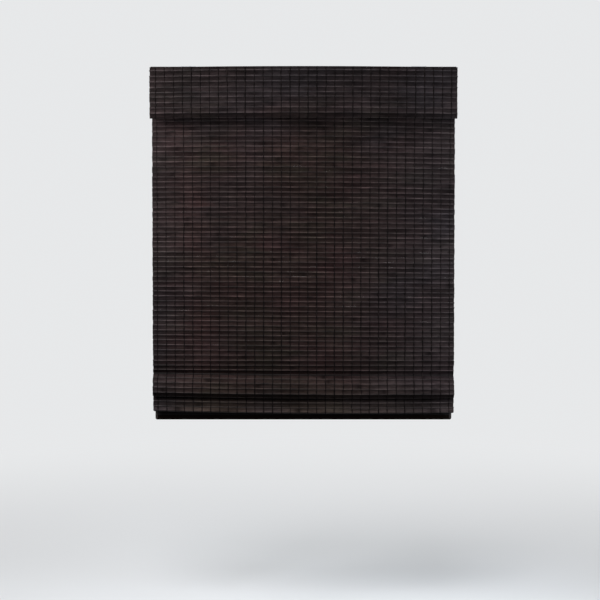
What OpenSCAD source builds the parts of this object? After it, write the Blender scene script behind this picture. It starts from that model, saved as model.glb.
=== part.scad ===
// Cordless woven-wood roman shade with a valance and its two lowest folds drawn up.
// Millimetres, +Z up, front faces -Y, origin between the four head screws, on top of the brackets.

/* [Weave] */
// Width of the woven panel
panel_w = 900; // [760:1:1100]
// Height of the flat panel, from the headrail to the drawn-up folds
panel_h = 834.4; // [600:0.1:1200]
// Width of one flat slat
slat_w = 11.2; // [10.4:0.1:12.5]
// Thickness of a slat
slat_t = 1.6; // [1.2:0.1:2]
// Diameter of the round reed between two slats
reed_d = 3.2; // [2.6:0.1:3.5]
// Room for one reed between two slats
reed_gap = 3.7; // [3.6:0.1:4.2]
// Spacing of the warp threads
warp_pitch = 26.4; // [20:0.1:40]
// Width of a warp thread
warp_w = 1.6; // [0.8:0.1:2.4]
// Thickness of a warp thread
warp_t = 0.6; // [0.4:0.1:1]
// Bare weave outside the first and last warp thread
warp_margin = 12; // [8:0.5:20]

/* [Valance] */
// How far the valance reaches past each side of the panel
valance_over = 3; // [1:0.5:8]
// Flat rows of slats on the valance front
valance_rows = 9; // [6:1:14]
// Lean of the rows that turn under at the valance hem, degrees
valance_hem_angles = [-30, -177, -180];
// Distance of the valance top below the ceiling face
valance_drop = 0.8; // [0.5:0.1:2]

/* [Drawn-up folds] */
// Lean of the rows running back into the crease, degrees
crease_angles = [-5, -13, -20];
// Lean of the rows down the front of the upper fold, degrees
fold_1_front_angles = [39, 25, 8, 0, -30];
// Lean of the rows up its back, degrees
fold_1_back_angles = [-166, -172, -180];
// Lean of the rows down the front of the lower fold, degrees
fold_2_front_angles = [0, 4, 5, 9, 6, 8];
// Lean of the rows up its back, degrees
fold_2_back_angles = [-165, -166, -168, -177];
// Lean of the rows of the tail behind the folds, degrees
tail_angles = [0, 0, 0, 0];

/* [Headrail] */
// Depth of the headrail, front to back
rail_d = 64; // [60:0.5:72]
// Height of the headrail
rail_h = 36; // [35.5:0.5:44]
// Wall of the headrail
rail_wall = 1.4; // [1.2:0.1:1.8]
// Width of each lip along its open top
lip_w = 12; // [8:0.5:13]
// Radius of its outer bends
rail_bend = 2.5; // [2:0.1:3.5]
// Height of the skirt that carries the panel
skirt_h = 22; // [16:1:30]
// Thickness of an end cap outside the rail
cap_t = 3; // [2:0.5:5]
// Length of the end cap plug inside the rail
cap_plug = 9; // [6:1:14]
// Wall of the end cap plug
cap_wall = 2; // [1.5:0.5:3]
// Thickness of the hook-and-loop tapes
tape_t = 2.4; // [1.6:0.1:3]
// Height of the hook-and-loop tapes
tape_h = 18; // [14:1:22]

/* [Brackets] */
// Distance from each side of the panel to the middle of a bracket
bracket_inset = 110; // [100:1:120]
// Length of a bracket along the rail
bracket_l = 44; // [36:1:50]
// Thickness of the bracket sheet
bracket_t = 1.5; // [1.2:0.1:2]
// Depth of the bracket plate, front to back
bracket_d = 58; // [50:1:60]
// How far a bracket toe reaches under the lip
bracket_toe = 6; // [4:0.5:7]
// Diameter of a head screw hole
screw_hole_d = 4.8; // [4:0.1:5.5]
// Distance between the two screw holes of a bracket, front to back
screw_span = 16; // [14:1:22]

/* [Spring motor] */
// Module of the drum gears
gear_module = 2; // [1.95:0.01:2.05]
// Thickness of a drum gear
gear_t = 5; // [4:0.5:6]
// Pressure angle of the teeth, degrees
gear_pressure = 20; // [18:0.5:22]
// Play between two meshing teeth
gear_play = 0.4; // [0.3:0.05:0.5]
// Radius of a drum
drum_r = 8.8; // [8:0.1:9.5]
// Height of a drum between gear and flange
drum_h = 18; // [15:0.5:18]
// Radius of the drum flange
flange_r = 14.5; // [13.5:0.1:15]
// Thickness of the drum flange
flange_t = 1.5; // [1:0.1:1.6]
// Diameter of a drum axle
axle_d = 5; // [4:0.1:6]
// Length of the motor frame
motor_l = 152; // [150:1:170]
// Depth of the motor frame
motor_d = 46; // [44:1:50]
// Thickness of the motor base and cover
motor_plate_t = 2.4; // [2:0.1:2.5]
// Diameter of the four posts of the motor frame
post_d = 7; // [6:0.5:8]
// Diameter of a motor screw
motor_screw_d = 2.8; // [2.5:0.1:3]
// Length of a motor screw below its head
motor_screw_l = 10; // [8:1:14]
// Height of the spring ribbon
spring_h = 13; // [10:0.5:14]
// Thickness of the coiled spring on its drums
spring_coil = 2.4; // [1.5:0.1:3]
// Thickness of the single ribbon between the drums
spring_t = 0.6; // [0.4:0.1:0.8]

/* [Lift cords] */
// Diameter of a lift cord
cord_d = 1.4; // [1.2:0.1:1.8]
// Distance from each side of the panel to its lift cord
cord_inset = 150; // [140:1:170]
// Distance of the cords behind the middle of the panel
cord_back = 15; // [14.8:0.1:15.2]
// Turns of cord left on a spool
cord_turns = 2; // [1:1:3]
// Rise of one turn of cord on a spool
cord_turn_rise = 1.8; // [1.7:0.1:2]
// Radius of the guide roller under its groove
roller_r = 5.6; // [5:0.1:5.8]
// Depth of the roller groove
roller_groove = 1.4; // [1.2:0.1:1.5]
// Width of the guide roller
roller_w = 5; // [4.5:0.1:6]
// Diameter of the roller pin
roller_pin_d = 3; // [2.5:0.1:3.5]
// Thickness of the guide base and cheeks
guide_t = 2; // [1.6:0.1:2.2]
// Outer diameter of the spout through the rail floor
spout_d = 8; // [7:0.1:9]
// Inner diameter of the spout
spout_bore = 4; // [3:0.1:5]
// How far the spout stands out below the rail
spout_drop = 2; // [1:0.5:4]

/* [Cord rings] */
// Inner radius of a cord ring
ring_r = 5; // [4.8:0.1:5.3]
// Thickness of a cord ring
ring_t = 2; // [1.6:0.1:2.2]
// Rows of slats between two rows of rings
ring_rows = 10; // [8:1:12]
// Width of the foot that is sewn to the weave
ring_foot_w = 8; // [6:0.5:10]
// Height of that foot
ring_foot_h = 6; // [5:0.5:9]
// Thickness of that foot on the flat panel
ring_foot_t = 3.2; // [3:0.1:3.5]
// Thickness of the foot at the crease, which lies closer to the cord
crease_foot_t = 1.2; // [1:0.1:1.5]
// Radius of the bead that ends a cord
bead_r = 2.6; // [2.2:0.1:3]

/* [Bottom bar] */
// How far each end of the bottom bar stays inside the side of the panel
bar_inset = 4; // [3:0.5:12]
// Height of the bottom bar
bar_h = 32; // [26:1:36]
// Thickness of the bottom bar
bar_t = 10; // [7:0.5:11]
// Chamfer along the edges of the bar
bar_chamfer = 1.5; // [1:0.1:2.5]
// Thickness of a bar cap
bar_cap_t = 6.5; // [6.5:0.5:9]
// Corner radius of a bar cap
bar_cap_r = 6; // [3:0.5:6]
// How far the bar reaches below the last slat
bar_below = 22.5; // [14:0.5:26]

/* [Hidden] */
$fn = 48;
// Clearance between pieces that do not turn on each other
fit_gap = 0.3;
// Clearance between threads and reeds
weave_gap = 0.05;
// Radial clearance of a turning fit
run_gap = 0.05;
// End play of the turning pieces
end_play = 0.4;
// Length that a cutter passes beyond the piece it cuts
over = 2;
// Turn, in degrees, above which two rows lie back to back
sharp_turn = 60;
// Angles of the points around the visible side of a reed, degrees
reed_angles = [-70, -35, 0, 35, 70];
// Teeth of each drum gear, an odd number so that a tooth meets a gap
gear_teeth = 17;
// Shares of the tooth height at which the flank points lie
flank_shares = [0, 0.25, 0.55, 0.8, 1];
// Height of the motor screw heads and how much wider than the shank they are
screw_head_h = 1.6;
screw_head_grow = 2.6;
// Sides of a cord, points of one turn on the spool and of the bend on the roller
cord_sides = 8;
turn_points = 20;
bend_points = 6;
// Depth of the roller pin fit beyond the cheeks
pin_over = 1;
// Points of a rounded corner
corner_points = 5;

// How far the bead of a cord anchor sits above the middle of its ring
bead_lift = 0.4;

row_pitch = slat_w + reed_gap;
mat_half = reed_d / 2;
panel_rows = round(panel_h / row_pitch);
valance_w = panel_w + 2 * valance_over;
bar_w = panel_w - 2 * bar_inset;

// Heights of the headrail
rail_top = -bracket_t;
rail_bottom = rail_top - rail_h;
rail_floor = rail_bottom + rail_wall;
lip_under = rail_top - rail_wall;
panel_top = rail_bottom - fit_gap;

// Depths of the cords and the panel
cord_r = cord_d / 2;
cord_y = drum_r + fit_gap + cord_r;
panel_y = cord_y - cord_back;
panel_back = panel_y + mat_half;
skirt_y = panel_back + tape_t;
rail_l = panel_w - 2 * cap_t;
bracket_x = panel_w / 2 - bracket_inset;

// Valance place and rows
valance_y = -rail_d / 2 - tape_t - mat_half;
valance_angles = concat(flat_rows(valance_rows), valance_hem_angles);
valance_start = [valance_y, -valance_drop - reed_gap];

// Rows of the drawn-up folds
fold_angles = concat(
  crease_angles, fold_1_front_angles, fold_1_back_angles,
  fold_2_front_angles, fold_2_back_angles, tail_angles
);
fold_start = [panel_y, panel_top - panel_rows * row_pitch];
fold_points = walk(fold_angles, fold_start);
crease_row = len(crease_angles) - 1;
fold_1_rows = len(fold_1_front_angles);
peak_1_row = crease_row + fold_1_rows + len(fold_1_back_angles);
fold_2_first = peak_1_row + 1;
fold_2_rows = len(fold_2_front_angles);
peak_2_row = peak_1_row + fold_2_rows + len(fold_2_back_angles);
crease = reed_at(fold_angles, fold_points, crease_row);
peak_1 = reed_at(fold_angles, fold_points, peak_1_row);
peak_2 = reed_at(fold_angles, fold_points, peak_2_row);
tail_end = reed_at(fold_angles, fold_points, len(fold_angles) - 1);
// Rows of the lower fold that show below the upper one
fold_2_shown_rows = 3;

// Gear sizes
gear_r = gear_teeth * gear_module / 2;
gear_base_r = gear_r * cos(gear_pressure);
gear_tip_r = gear_r + gear_module;
gear_root_share = 1.25;
gear_root_r = gear_r - gear_root_share * gear_module;
tooth_half = 90 / gear_teeth - gear_play / 2 / gear_r * 180 / PI;
drum_pitch = 2 * gear_r;

// Heights of the motor
motor_top = rail_floor + motor_plate_t;
gear_z = motor_top + end_play;
drum_z = gear_z + gear_t;
flange_z = drum_z + drum_h;
cover_z = flange_z + flange_t + end_play;
post_x = motor_l / 2 - post_d / 2;
post_y = motor_d / 2 - post_d / 2;
spring_r = drum_r + fit_gap + spring_coil;

// Places of the cords and rollers
cord_x = panel_w / 2 - cord_inset;
bend_r = roller_r + fit_gap + cord_r;
roller_x = cord_x - bend_r;
cord_z = drum_z + drum_h / 2;
roller_z = cord_z - bend_r;
cheek_y = roller_w / 2 + fit_gap;
ring_out = ring_r + ring_t;
anchor_z = peak_2[1] + mat_half + ring_t / 2;

// Places of the bottom bar
bar_y = tail_end[0] + mat_half + tape_t;
bar_z = tail_end[1] - bar_below;

espresso = [0.16, 0.12, 0.11];
thread_dark = [0.08, 0.07, 0.07];
metal = [0.72, 0.72, 0.74];
white_plastic = [0.9, 0.9, 0.88];
spring_steel = [0.5, 0.52, 0.55];
cord_dark = [0.12, 0.1, 0.09];

// Woven mat

// Lean of a number of flat rows
function flat_rows(n) = [for (i = [1 : n]) 0];
// Direction of a row in depth and height: 0 hangs down, positive leans to the front
function row_dir(a) = [-sin(a), -cos(a)];
// Direction out of the visible side of a row
function row_out(a) = [-cos(a), sin(a)];
// Lean of the reed after row i
function reed_lean(lean, i) = i < len(lean) - 1 ? (lean[i] + lean[i + 1]) / 2 : lean[i];
// Turn between row i and the next one
function row_turn(lean, i) = i < len(lean) - 1 ? lean[i + 1] - lean[i] : 0;
// Upper end of every slat, one after the other
function walk(lean, start) = [
  for (
    i = 0, p = start;
    i < len(lean);
    p = p + slat_w * row_dir(lean[i]) + reed_gap * row_dir(reed_lean(lean, i)),
    i = i + 1
  ) p
];
// Middle of the reed after row i
function reed_at(lean, pts, i) =
  pts[i] + slat_w * row_dir(lean[i]) + reed_gap / 2 * row_dir(reed_lean(lean, i));
// Points of one reed on one side of the mat, none where two rows lie back to back
function reed_side(lean, pts, i, side) =
  side * row_turn(lean, i) > sharp_turn ? [] : [
    for (a = reed_angles)
      reed_at(lean, pts, i) + reed_d / 2 * (
        side * cos(a) * row_out(reed_lean(lean, i)) + sin(a) * row_dir(reed_lean(lean, i))
      )
  ];
// One side of the mat from the top down
function mat_side(lean, pts, side) = [
  for (i = [0 : len(lean) - 1]) each concat(
    [
      pts[i] + side * slat_t / 2 * row_out(lean[i]),
      pts[i] + slat_w * row_dir(lean[i]) + side * slat_t / 2 * row_out(lean[i])
    ],
    reed_side(lean, pts, i, side)
  )
];
// A list from its end to its start
function backwards(list) = [for (i = [len(list) - 1 : -1 : 0]) list[i]];

// Extrude an outline of depth and height across the width
module across(w) {
  translate([-w / 2, 0, 0]) rotate([90, 0, 90]) linear_extrude(height = w) children();
}

// One side of a reed above the first row
function top_reed(lean, start, side) = [
  for (a = reed_angles)
    start - reed_gap / 2 * row_dir(lean[0]) + reed_d / 2 * (
      side * cos(a) * row_out(lean[0]) + sin(a) * row_dir(lean[0])
    )
];

module mat(lean, start, w, top = false) {
  pts = walk(lean, start);
  front = concat(top ? top_reed(lean, start, 1) : [], mat_side(lean, pts, 1));
  back = concat(top ? top_reed(lean, start, -1) : [], mat_side(lean, pts, -1));
  across(w) polygon(concat(front, backwards(back)));
}

// Thread line over the reeds of a number of rows, at height h above the middle of the mat
function thread_line(lean, pts, first, rows, h) = concat(
  [pts[first] + h * row_out(lean[first])],
  [for (i = [first : first + rows - 1]) reed_at(lean, pts, i) + h * row_out(reed_lean(lean, i))]
);

module threads(lean, start, w, first, rows) {
  pts = walk(lean, start);
  n = floor((w - 2 * warp_margin) / warp_pitch);
  inner = thread_line(lean, pts, first, rows, mat_half + weave_gap);
  outer = thread_line(lean, pts, first, rows, mat_half + weave_gap + warp_t);
  for (k = [0 : n])
    translate([(k - n / 2) * warp_pitch, 0, 0])
      across(warp_w) polygon(concat(inner, backwards(outer)));
}

module valance() {
  color(espresso) mat(valance_angles, valance_start, valance_w, true);
}

module valance_threads() {
  color(thread_dark) threads(valance_angles, valance_start, valance_w, 0, valance_rows);
}

module upper_panel() {
  color(espresso) mat(flat_rows(panel_rows), [panel_y, panel_top], panel_w);
}

module panel_threads() {
  color(thread_dark)
    threads(flat_rows(panel_rows), [panel_y, panel_top], panel_w, 0, panel_rows);
}

module lower_folds() {
  color(espresso) mat(fold_angles, fold_start, panel_w);
}

module fold_threads() {
  color(thread_dark) {
    threads(fold_angles, fold_start, panel_w, 0, crease_row + fold_1_rows);
    threads(
      fold_angles, fold_start, panel_w,
      fold_2_first + fold_2_rows - fold_2_shown_rows, fold_2_shown_rows - 1
    );
  }
}

// Headrail

// Points of a rounded corner around c, from angle a to angle b
function corner(c, r, a, b) = [
  for (i = [0 : corner_points]) c + r * [cos(a + (b - a) * i / corner_points),
    sin(a + (b - a) * i / corner_points)]
];

module headrail() {
  half = rail_d / 2;
  inner = half - rail_wall;
  bend_y = half - rail_bend;
  outline = concat(
    [[-half + lip_w, lip_under], [-half + lip_w, rail_top]],
    corner([-bend_y, rail_top - rail_bend], rail_bend, 90, 180),
    corner([-bend_y, rail_bottom + rail_bend], rail_bend, 180, 270),
    [
      [skirt_y, rail_bottom], [skirt_y, rail_bottom - skirt_h],
      [skirt_y + rail_wall, rail_bottom - skirt_h], [skirt_y + rail_wall, rail_bottom]
    ],
    corner([bend_y, rail_bottom + rail_bend], rail_bend, 270, 360),
    corner([bend_y, rail_top - rail_bend], rail_bend, 0, 90),
    [
      [half - lip_w, rail_top], [half - lip_w, lip_under], [inner, lip_under],
      [inner, rail_floor], [-inner, rail_floor], [-inner, lip_under]
    ]
  );
  color(metal) difference() {
    across(rail_l) polygon(outline);
    for (s = [-1, 1])
      translate([s * cord_x, cord_y, rail_bottom - over])
        cylinder(d = spout_d + 2 * fit_gap, h = rail_wall + 2 * over);
  }
}

module end_cap(side) {
  plug_d = rail_d - 2 * rail_wall - 2 * fit_gap;
  plug_h = rail_h - 2 * rail_wall - 2 * fit_gap;
  bend_y = rail_d / 2 - rail_bend;
  face = concat(
    corner([bend_y, rail_top - rail_bend], rail_bend, 0, 90),
    corner([-bend_y, rail_top - rail_bend], rail_bend, 90, 180),
    corner([-bend_y, rail_bottom + rail_bend], rail_bend, 180, 270),
    corner([bend_y, rail_bottom + rail_bend], rail_bend, 270, 360)
  );
  color(white_plastic) {
    translate([side * (panel_w / 2 - cap_t / 2), 0, 0]) across(cap_t) polygon(face);
    translate([side * (rail_l / 2 - cap_plug / 2), 0, rail_floor + fit_gap + plug_h / 2])
      difference() {
        cube([cap_plug, plug_d, plug_h], center = true);
        cube([cap_plug + over, plug_d - 2 * cap_wall, plug_h - 2 * cap_wall], center = true);
      }
  }
}

module end_cap_left() {
  end_cap(-1);
}

module end_cap_right() {
  end_cap(1);
}

module bracket(side) {
  web_out = rail_d / 2 - lip_w - fit_gap;
  web_in = web_out - bracket_t;
  toe_out = web_out + bracket_toe;
  toe_top = lip_under - fit_gap;
  toe_low = toe_top - bracket_t;
  outline = [
    [-bracket_d / 2, -bracket_t], [-web_out, -bracket_t], [-web_out, toe_top], [-toe_out, toe_top],
    [-toe_out, toe_low], [-web_in, toe_low], [-web_in, -bracket_t], [web_in, -bracket_t],
    [web_in, toe_low], [toe_out, toe_low], [toe_out, toe_top], [web_out, toe_top],
    [web_out, -bracket_t], [bracket_d / 2, -bracket_t], [bracket_d / 2, 0], [-bracket_d / 2, 0]
  ];
  color(metal) translate([side * bracket_x, 0, 0]) difference() {
    across(bracket_l) polygon(outline);
    for (s = [-1, 1])
      translate([0, s * screw_span / 2, -bracket_t - over])
        cylinder(d = screw_hole_d, h = bracket_t + 2 * over);
  }
}

module bracket_left() {
  bracket(-1);
}

module bracket_right() {
  bracket(1);
}

// A flat bar with its front face at depth y and its middle at height z
module strip(w, y, t, z, h) {
  translate([-w / 2, y, z - h / 2]) cube([w, t, h]);
}

module valance_tape() {
  color(thread_dark)
    strip(rail_l, -rail_d / 2 - tape_t, tape_t, rail_bottom + rail_h / 2, tape_h);
}

module panel_tape() {
  color(thread_dark) strip(rail_l, panel_back, tape_t, rail_bottom - skirt_h / 2, tape_h);
}

// Spring motor

// A point at radius r and angle a
function polar(r, a) = [r * cos(a), r * sin(a)];
// Involute of an angle, degrees
function involute(a) = tan(a) * 180 / PI - a;
// Half the angle of a tooth at radius r
function tooth_angle(r) =
  tooth_half + involute(gear_pressure) - involute(acos(min(1, gear_base_r / r)));
// Radius of flank point j
function flank_r(j) = gear_base_r + flank_shares[j] * (gear_tip_r - gear_base_r);
// Outline of a gear
function gear_outline() = [
  for (k = [0 : gear_teeth - 1]) let (c = k * 360 / gear_teeth, last = len(flank_shares) - 1)
    each concat(
      [polar(gear_root_r, c - tooth_angle(gear_base_r))],
      [for (j = [0 : last]) polar(flank_r(j), c - tooth_angle(flank_r(j)))],
      [for (j = [last : -1 : 0]) polar(flank_r(j), c + tooth_angle(flank_r(j)))],
      [polar(gear_root_r, c + tooth_angle(gear_base_r))]
    )
];

// Place of drum k along the motor
function drum_x(k) = (k - 3 / 2) * drum_pitch;

module drum(k) {
  translate([drum_x(k), 0, gear_z]) difference() {
    union() {
      linear_extrude(height = gear_t) polygon(gear_outline());
      cylinder(r = drum_r, h = gear_t + drum_h + flange_t);
      translate([0, 0, gear_t + drum_h]) cylinder(r = flange_r, h = flange_t);
    }
    translate([0, 0, -over])
      cylinder(d = axle_d + 2 * run_gap, h = gear_t + drum_h + flange_t + 2 * over);
  }
}

module cord_spool_left() {
  color(white_plastic) drum(0);
}

module storage_drum() {
  color(white_plastic) drum(1);
}

module output_drum() {
  color(white_plastic) drum(2);
}

module cord_spool_right() {
  color(white_plastic) drum(3);
}

// Four children, one at each post of the motor frame
module at_posts() {
  for (sx = [-1, 1]) for (sy = [-1, 1]) translate([sx * post_x, sy * post_y, 0]) children();
}

module axle_holes(z, h) {
  for (k = [0 : 3])
    translate([drum_x(k), 0, z - over]) cylinder(d = axle_d + 2 * run_gap, h = h + 2 * over);
}

module motor_base() {
  color(white_plastic) difference() {
    union() {
      translate([-motor_l / 2, -motor_d / 2, rail_floor]) cube([motor_l, motor_d, motor_plate_t]);
      at_posts() translate([0, 0, rail_floor]) cylinder(d = post_d, h = cover_z - rail_floor);
    }
    axle_holes(rail_floor, motor_plate_t);
    at_posts() translate([0, 0, cover_z - motor_screw_l])
      cylinder(d = motor_screw_d + 2 * run_gap, h = motor_screw_l + over);
  }
}

module motor_cover() {
  color(white_plastic) difference() {
    translate([-motor_l / 2, -motor_d / 2, cover_z]) cube([motor_l, motor_d, motor_plate_t]);
    axle_holes(cover_z, motor_plate_t);
    at_posts() translate([0, 0, cover_z - over])
      cylinder(d = motor_screw_d + 2 * run_gap, h = motor_plate_t + 2 * over);
  }
}

module motor_screws() {
  color(spring_steel) at_posts() {
    translate([0, 0, cover_z + motor_plate_t - motor_screw_l])
      cylinder(d = motor_screw_d, h = motor_screw_l);
    translate([0, 0, cover_z + motor_plate_t])
      cylinder(d = motor_screw_d + screw_head_grow, h = screw_head_h);
  }
}

module drum_axles() {
  color(spring_steel) for (k = [0 : 3])
    translate([drum_x(k), 0, rail_floor])
      cylinder(d = axle_d, h = cover_z + motor_plate_t - rail_floor);
}

module motor_spring() {
  line_r = spring_r - spring_t / 2;
  lean = asin(line_r / gear_r);
  z = drum_z + (drum_h - spring_h) / 2;
  color(spring_steel) {
    for (k = [1, 2]) translate([drum_x(k), 0, z]) difference() {
      cylinder(r = spring_r, h = spring_h);
      translate([0, 0, -over]) cylinder(r = drum_r + fit_gap, h = spring_h + 2 * over);
    }
    translate([0, 0, z + spring_h / 2]) rotate([0, 0, -lean])
      cube([2 * gear_r * cos(lean), spring_t, spring_h], center = true);
  }
}

// Lift cords

module guide_roller(side) {
  out = roller_r + roller_groove;
  half = roller_w / 2;
  low = cord_r + fit_gap;
  color(white_plastic) translate([side * roller_x, cord_y, roller_z]) rotate([90, 0, 0])
    rotate_extrude() polygon([
      [roller_pin_d / 2 + run_gap, -half], [out, -half], [out, -low], [roller_r, -low],
      [roller_r, low], [out, low], [out, half], [roller_pin_d / 2 + run_gap, half]
    ]);
}

module guide_roller_left() {
  guide_roller(-1);
}

module guide_roller_right() {
  guide_roller(1);
}

module roller_pins() {
  l = 2 * (cheek_y + guide_t + pin_over);
  color(spring_steel) for (s = [-1, 1])
    translate([s * roller_x, cord_y, roller_z]) rotate([90, 0, 0])
      cylinder(d = roller_pin_d, h = l, center = true);
}

module cord_guide(side) {
  wide = 2 * (cheek_y + guide_t);
  out = roller_r + roller_groove;
  in_x = roller_x - out;
  out_x = cord_x + spout_d / 2;
  cheek_w = 2 * roller_r;
  cheek_h = roller_z + roller_r - rail_floor;
  color(white_plastic) difference() {
    union() {
      translate([side * (in_x + out_x) / 2 - (out_x - in_x) / 2, cord_y - wide / 2, rail_floor])
        cube([out_x - in_x, wide, guide_t]);
      for (s = [-1, 1])
        translate([
          side * roller_x - cheek_w / 2,
          cord_y + s * (cheek_y + guide_t / 2) - guide_t / 2,
          rail_floor
        ]) cube([cheek_w, guide_t, cheek_h]);
      translate([side * cord_x, cord_y, rail_bottom - spout_drop])
        cylinder(d = spout_d, h = spout_drop + rail_wall + guide_t / 2);
    }
    translate([side * cord_x, cord_y, rail_bottom - spout_drop - over])
      cylinder(d = spout_bore, h = spout_drop + rail_wall + guide_t + 2 * over);
    translate([side * roller_x, cord_y, roller_z]) rotate([90, 0, 0])
      cylinder(d = roller_pin_d + 2 * run_gap, h = wide + over, center = true);
  }
}

module cord_guide_left() {
  cord_guide(-1);
}

module cord_guide_right() {
  cord_guide(1);
}

// Route of a headrail cord: turns on the spool, the run along the rail, the bend on the roller.
// Each entry holds the point, the direction of travel and a direction across it.
function cord_route(side) = let (
    r = drum_r + fit_gap + cord_r,
    n = cord_turns * turn_points,
    x = side * 3 / 2 * drum_pitch
  ) concat(
    [
      for (i = [0 : n]) let (a = 90 + side * (n - i) * 360 / turn_points) [
        [x + r * cos(a), r * sin(a), cord_z - (n - i) / turn_points * cord_turn_rise],
        [side * sin(a), -side * cos(a), 0],
        [cos(a), sin(a), 0]
      ]
    ],
    [
      for (i = [0 : bend_points]) let (a = 90 * i / bend_points) [
        [side * (roller_x + bend_r * sin(a)), cord_y, roller_z + bend_r * cos(a)],
        [side * cos(a), 0, -sin(a)],
        [0, 1, 0]
      ]
    ]
  );

module headrail_cord(side) {
  route = cord_route(side);
  n = len(route);
  m = cord_sides;
  points = [
    for (e = route) for (j = [0 : m - 1]) let (a = 360 * j / m)
      e[0] + cord_r * (cos(a) * e[2] + sin(a) * cross(e[1], e[2]))
  ];
  faces = concat(
    [[for (j = [0 : m - 1]) j]],
    [[for (j = [m - 1 : -1 : 0]) (n - 1) * m + j]],
    [
      for (i = [0 : n - 2]) for (j = [0 : m - 1]) let (k = (j + 1) % m)
        [i * m + j, (i + 1) * m + j, (i + 1) * m + k, i * m + k]
    ]
  );
  color(cord_dark) polyhedron(points = points, faces = faces);
}

module headrail_cord_left() {
  headrail_cord(-1);
}

module headrail_cord_right() {
  headrail_cord(1);
}

module lift_cord(side) {
  low = anchor_z + bead_lift + bead_r + fit_gap;
  color(cord_dark) translate([side * cord_x, cord_y, low])
    cylinder(d = cord_d, h = roller_z - low);
}

module lift_cord_left() {
  lift_cord(-1);
}

module lift_cord_right() {
  lift_cord(1);
}

// Cord rings

module ring() {
  rotate_extrude() translate([ring_r + ring_t / 2, 0]) circle(d = ring_t);
}

// A ring on a foot of thickness t, with the foot against the weave at depth y
module footed_ring(y, t) {
  for (s = [-1, 1]) {
    translate([s * cord_x, y + t + ring_out - ring_t / 2, 0]) ring();
    translate([s * cord_x - ring_foot_w / 2, y, -ring_foot_h / 2])
      cube([ring_foot_w, t, ring_foot_h]);
  }
}

// Row of rings k rows of rings above the crease
module ring_row(k) {
  rows = panel_rows + len(crease_angles) - k * ring_rows;
  color(white_plastic)
    translate([0, 0, panel_top - rows * row_pitch])
      footed_ring(panel_back + fit_gap, ring_foot_t);
}

module cord_rings_1() {
  ring_row(1);
}

module cord_rings_2() {
  ring_row(2);
}

module cord_rings_3() {
  ring_row(3);
}

module cord_rings_4() {
  ring_row(4);
}

module stack_rings() {
  color(white_plastic) {
    translate([0, 0, crease[1]]) footed_ring(crease[0] + mat_half + weave_gap, crease_foot_t);
    for (s = [-1, 1])
      translate([s * cord_x, cord_y, peak_1[1] + mat_half + ring_t / 2 + weave_gap]) ring();
  }
}

module cord_anchors() {
  color(white_plastic) for (s = [-1, 1]) translate([s * cord_x, cord_y, anchor_z + weave_gap]) {
    translate([0, ring_r - bead_r / 2, 0]) ring();
    translate([0, 0, bead_lift]) sphere(r = bead_r);
  }
}

// Bottom bar

module bar_outline(w, h) {
  c = bar_chamfer;
  polygon([
    [c, 0], [w - c, 0], [w, c], [w, h - c], [w - c, h], [c, h], [0, h - c], [0, c]
  ]);
}

module bottom_bar() {
  color(espresso) translate([0, bar_y, bar_z])
    across(bar_w - 2 * bar_cap_t) bar_outline(bar_t, bar_h);
}

module bar_tape() {
  color(thread_dark)
    strip(bar_w - 2 * bar_cap_t, bar_y - tape_t, tape_t, bar_z + bar_h - tape_h / 2 + weave_gap, tape_h);
}

module bar_cap(side) {
  c = bar_cap_r;
  outline = concat(
    [[0, bar_h]], [[0, 0]],
    corner([bar_cap_t - c, c], c, 270, 360),
    corner([bar_cap_t - c, bar_h - c], c, 0, 90)
  );
  color(cord_dark) translate([side * (bar_w / 2 - bar_cap_t), bar_y, bar_z])
    rotate([90, 0, 0]) mirror([side < 0 ? 1 : 0, 0, 0])
      translate([0, 0, -bar_t]) linear_extrude(height = bar_t) polygon(outline);
}

module bar_cap_left() {
  bar_cap(-1);
}

module bar_cap_right() {
  bar_cap(1);
}

headrail();
end_cap_left();
end_cap_right();
bracket_left();
bracket_right();
valance();
valance_threads();
valance_tape();
upper_panel();
panel_threads();
panel_tape();
motor_base();
motor_cover();
motor_screws();
drum_axles();
cord_spool_left();
storage_drum();
output_drum();
cord_spool_right();
motor_spring();
cord_guide_left();
cord_guide_right();
guide_roller_left();
guide_roller_right();
roller_pins();
headrail_cord_left();
headrail_cord_right();
lift_cord_left();
lift_cord_right();
cord_rings_1();
cord_rings_2();
cord_rings_3();
cord_rings_4();
lower_folds();
fold_threads();
stack_rings();
cord_anchors();
bottom_bar();
bar_tape();
bar_cap_left();
bar_cap_right();
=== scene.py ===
"""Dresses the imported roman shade: woven mats, warp threads, hardware finishes, light and camera."""

from __future__ import annotations

import logging
import math
import random
from dataclasses import dataclass, field
from enum import Enum

import bmesh
import bpy
from mathutils import Matrix, Vector, noise


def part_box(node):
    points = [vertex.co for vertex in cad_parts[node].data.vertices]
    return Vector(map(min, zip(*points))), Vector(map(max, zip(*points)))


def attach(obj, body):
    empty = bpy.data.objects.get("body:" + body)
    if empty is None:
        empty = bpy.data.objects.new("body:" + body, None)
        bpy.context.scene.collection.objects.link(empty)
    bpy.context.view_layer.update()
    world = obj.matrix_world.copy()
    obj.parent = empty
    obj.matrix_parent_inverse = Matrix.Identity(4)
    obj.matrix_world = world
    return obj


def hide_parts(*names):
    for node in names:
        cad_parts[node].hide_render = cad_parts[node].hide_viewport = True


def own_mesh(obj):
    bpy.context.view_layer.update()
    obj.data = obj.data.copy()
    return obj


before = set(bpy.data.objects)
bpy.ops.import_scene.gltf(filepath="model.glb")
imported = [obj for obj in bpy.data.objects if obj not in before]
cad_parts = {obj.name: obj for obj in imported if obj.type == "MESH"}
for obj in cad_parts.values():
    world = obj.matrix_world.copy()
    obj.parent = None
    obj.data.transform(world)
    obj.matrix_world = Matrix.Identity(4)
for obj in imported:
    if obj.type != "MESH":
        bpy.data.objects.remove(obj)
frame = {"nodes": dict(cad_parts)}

LOG = logging.getLogger("roman_shade")
MM = 0.001

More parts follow.
